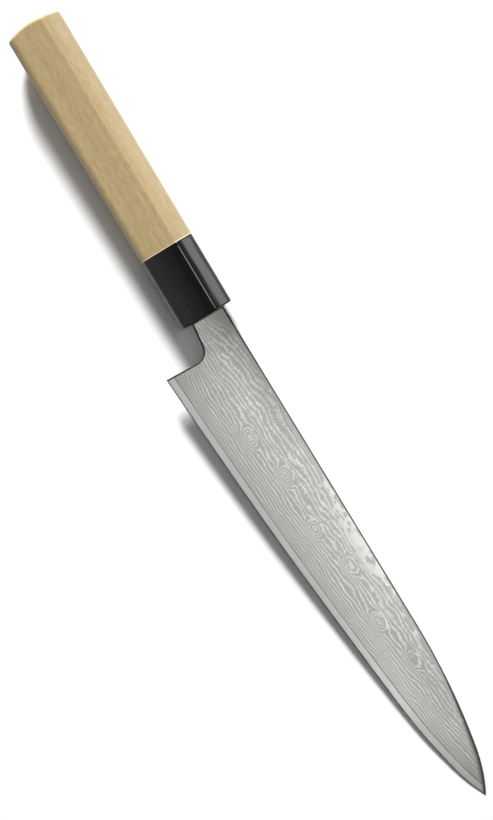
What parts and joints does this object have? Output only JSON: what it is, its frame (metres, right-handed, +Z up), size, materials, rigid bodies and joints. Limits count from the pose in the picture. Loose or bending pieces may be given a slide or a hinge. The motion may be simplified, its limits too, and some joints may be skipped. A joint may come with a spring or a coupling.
{
  "type": "kitchen slicing knife",
  "caption": "Slim double-bevel slicing knife with a layered steel blade, a black ferrule and a pale wooden handle of chestnut section, lying on its left side",
  "frame": {"origin": "centre of the footprint, on the board that the knife lies on", "axes": "+X from the butt to the tip, +Y from the cutting edge to the spine, +Z up from the board; the knife lies on its left side, tipped forward by about 2 degrees so that the front of its ferrule and its tip touch the board"},
  "size_m": [0.3578, 0.039, 0.0228],
  "materials": {
    "core_steel": "fine satin, polished along the very edge",
    "layered_steel": "satin with a flowing pattern of lighter layer lines",
    "black_resin": "polished",
    "pale_wood": "bare, fine sanded",
    "bedding_resin": "cast, hidden in the handle",
    "seal_resin": "cast, wiped flush"
  },
  "bodies": {
    "root": {"blade_core": "core_steel", "right_cladding": "layered_steel", "left_cladding": "layered_steel", "ferrule": "black_resin", "handle_grip": "pale_wood", "tang_bedding": "bedding_resin", "mouth_seal": "seal_resin"}
  },
  "joints": []
}
